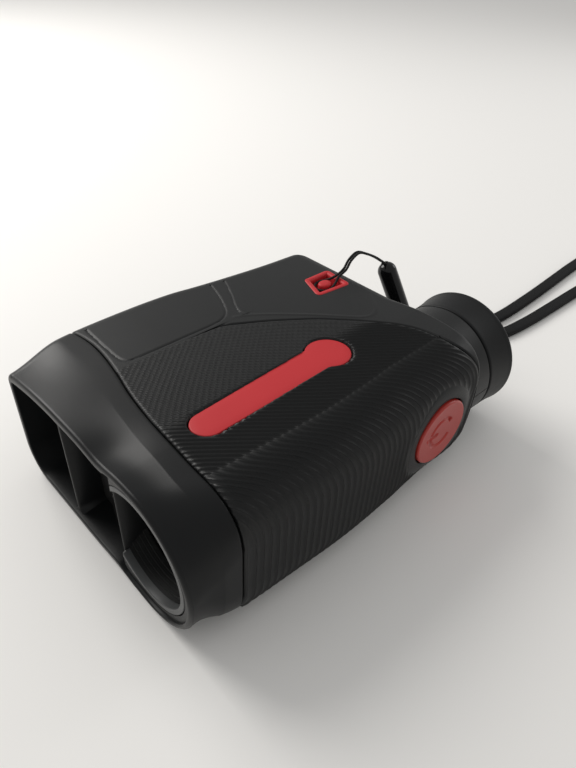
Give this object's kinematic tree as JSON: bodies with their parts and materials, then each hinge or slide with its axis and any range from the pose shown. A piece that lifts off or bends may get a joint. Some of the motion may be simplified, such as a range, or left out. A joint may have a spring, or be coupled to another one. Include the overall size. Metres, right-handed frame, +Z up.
{
  "type": "laser rangefinder",
  "caption": "Handheld laser rangefinder, a flat monocular with ribbed rubber armour, three front apertures, a turning eyecup, a red power button and a wrist lanyard.",
  "frame": {"origin": "centre of the box of the device without its lanyard, on the surface it lies on", "axes": "+X to the side of the device that carries the power button (its top in use), +Y from the front apertures to the eyepiece, +Z up, away from the surface, through the side that carries the lanyard eye"},
  "size_m": [0.0813, 0.2583, 0.0416],
  "materials": {
    "shell_plastic": "satin dark grey moulded plastic",
    "bezel_plastic": "satin dark grey moulded plastic, slightly glossier",
    "rubber_armour": "soft-touch black rubber, ribbed",
    "red_plastic": "matt red moulded plastic",
    "button_red": "satin translucent red",
    "inner_black": "matt black",
    "eyecup_rubber": "satin dark grey rubber",
    "coated_glass": "anti-reflection coated glass",
    "steel": "bright steel",
    "brass": "bright brass",
    "circuit_board": "green solder mask",
    "battery_foil": "gloss printed sleeve, bare",
    "cord_fabric": "black braided cord",
    "strap_fabric": "black woven strap",
    "capsule_plastic": "gloss black"
  },
  "bodies": {
    "housing": {"battery": "battery_foil", "battery_cradle": "inner_black", "battery_spring": "steel", "board_screw_1": "steel", "board_screw_2": "steel", "board_screw_3": "steel", "board_screw_4": "steel", "button_seal": "eyecup_rubber", "compensating_prism": "coated_glass", "display_glass": "coated_glass", "door_pin": "steel", "emitter_lens": "coated_glass", "emitter_tube": "inner_black", "front_bezel": "bezel_plastic", "front_mask": "inner_black", "housing_screw_1": "steel", "housing_screw_2": "steel", "housing_screw_3": "steel", "housing_screw_4": "steel", "lanyard_capsule": "capsule_plastic", "lanyard_eye": "red_plastic", "lanyard_loop": "cord_fabric", "laser_diode": "brass", "left_badge": "red_plastic", "left_shell": "shell_plastic", "main_board": "circuit_board", "mode_switch": "circuit_board", "objective_barrel": "inner_black", "objective_lens": "coated_glass", "objective_retainer": "inner_black", "objective_ring": "bezel_plastic", "optical_frame": "inner_black", "positive_contact": "steel", "power_switch": "steel", "prism_holder": "inner_black", "receiver_board": "circuit_board", "receiver_lens": "coated_glass", "receiver_tube": "inner_black", "right_badge": "red_plastic", "right_shell": "shell_plastic", "roof_prism": "coated_glass", "rubber_grip": "rubber_armour", "wrist_strap": "strap_fabric"},
    "power_button": {"power_button": "button_red"},
    "mode_button": {"mode_button": "eyecup_rubber"},
    "diopter": {"diopter_ring": "inner_black", "eyecup": "eyecup_rubber"},
    "ocular": {"ocular_barrel": "inner_black", "eye_lens": "coated_glass", "field_lens": "coated_glass", "ocular_retainer": "inner_black"},
    "battery_door": {"battery_door": "shell_plastic"}
  },
  "joints": [
    {"name": "power_button_press", "type": "slide", "parent": "housing", "child": "power_button", "axis": [-1, 0, 0], "range_m": [0, 0.001], "stiffness_N_per_m": 700, "springref_m": -0.001},
    {"name": "mode_button_press", "type": "slide", "parent": "housing", "child": "mode_button", "axis": [0, 0, 1], "range_m": [0, 0.0008], "stiffness_N_per_m": 700, "springref_m": -0.001},
    {"name": "diopter_turn", "type": "hinge", "parent": "housing", "child": "diopter", "pos_m": [0.0205, 0.05, 0.01855], "axis": [0, 1, 0], "range_deg": [-60, 60]},
    {"name": "ocular_focus", "type": "slide", "parent": "housing", "child": "ocular", "axis": [0, 1, 0], "range_m": [-0.00075, 0.00075]},
    {"name": "battery_door_hinge", "type": "hinge", "parent": "housing", "child": "battery_door", "pos_m": [-0.03875, -0.0049, 0.01855], "axis": [0, 0, 1], "range_deg": [0, 100]}
  ],
  "couplings": [
    {"joint": "ocular_focus", "follows": "diopter_turn", "m_per_rad": 0.0007161}
  ]
}
